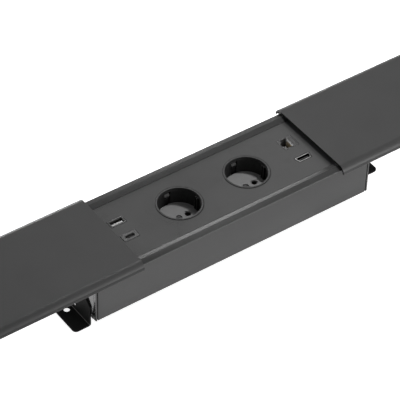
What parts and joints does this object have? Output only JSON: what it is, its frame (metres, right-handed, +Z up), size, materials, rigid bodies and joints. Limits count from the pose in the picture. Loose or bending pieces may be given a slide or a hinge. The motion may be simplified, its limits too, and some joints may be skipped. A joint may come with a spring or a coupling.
{
  "type": "in-desk power strip",
  "caption": "Desk-slot power trough with recessed plug sockets, charging and data ports in a flush panel, under two long covers that slide apart; slotted end brackets clamp it to the desk.",
  "frame": {"origin": "middle of the desk slot the trough drops into, in the plane of the desk's top surface", "axes": "+X along the strip, towards the end with the network and video ports; +Z up, out of the desk; -Y towards the person using it"},
  "size_m": [0.5498, 0.1016, 0.0582],
  "materials": {
    "anodised_trough": "fine-blasted, anthracite anodised",
    "plate_black": "glossy black",
    "zinc_screw": "zinc plated",
    "panel_grey": "satin anthracite",
    "cover_grey": "fine-blasted, anthracite anodised",
    "glide_black": "slippery acetal",
    "bracket_black": "black powder coat",
    "socket_black": "fine texture",
    "carrier_black": "moulded",
    "contact_brass": "rolled strip",
    "block_ivory": "moulded",
    "wire_sheath": "flexible insulation",
    "gland_black": "moulded",
    "grommet_rubber": "moulded",
    "board_green": "solder resist",
    "bezel_grey": "fine texture",
    "shell_steel": "nickel plated",
    "tongue_white": "moulded",
    "tongue_black": "moulded",
    "contact_gold": "gold flash"
  },
  "bodies": {
    "housing": {"trough": "anodised_trough", "end_plate_left": "plate_black", "end_plate_right": "plate_black", "end_plate_screws": "zinc_screw", "face_panel": "panel_grey", "clamp_screws": "zinc_screw", "clamp_washers": "zinc_screw", "clamp_nuts": "zinc_screw", "socket_cup_left": "socket_black", "socket_cup_right": "socket_black", "contact_carrier_left": "carrier_black", "contact_carrier_right": "carrier_black", "socket_screws": "zinc_screw", "earth_clip_left": "contact_brass", "earth_clip_right": "contact_brass", "live_busbar": "contact_brass", "neutral_busbar": "contact_brass", "earth_strip": "contact_brass", "terminal_block": "block_ivory", "terminal_screws": "zinc_screw", "internal_wires": "wire_sheath", "mains_gland": "gland_black", "gland_nut": "gland_black", "outlet_grommet": "grommet_rubber", "charger_case": "carrier_black", "charger_board": "board_green", "usb_a_bezel": "bezel_grey", "usb_a_shell": "shell_steel", "usb_a_tongue": "tongue_white", "usb_c_bezel": "bezel_grey", "usb_c_shell": "shell_steel", "usb_c_tongue": "tongue_black", "network_port": "bezel_grey", "network_contacts": "contact_gold", "video_coupler": "carrier_black", "video_shell": "shell_steel", "video_tongue": "tongue_black"},
    "left_cover": {"cover_left": "cover_grey", "glides_left": "glide_black"},
    "right_cover": {"cover_right": "cover_grey", "glides_right": "glide_black"},
    "left_bracket": {"bracket_left": "bracket_black"},
    "right_bracket": {"bracket_right": "bracket_black"}
  },
  "joints": [
    {"name": "left_cover_slide", "type": "slide", "parent": "housing", "child": "left_cover", "axis": [1, 0, 0], "range_m": [-0.0132, 0.1]},
    {"name": "right_cover_slide", "type": "slide", "parent": "housing", "child": "right_cover", "axis": [1, 0, 0], "range_m": [-0.1128, 0.001]},
    {"name": "left_bracket_height", "type": "slide", "parent": "housing", "child": "left_bracket", "axis": [0, 0, 1], "range_m": [0, 0.021]},
    {"name": "right_bracket_height", "type": "slide", "parent": "housing", "child": "right_bracket", "axis": [0, 0, 1], "range_m": [-0.021, 0]}
  ]
}
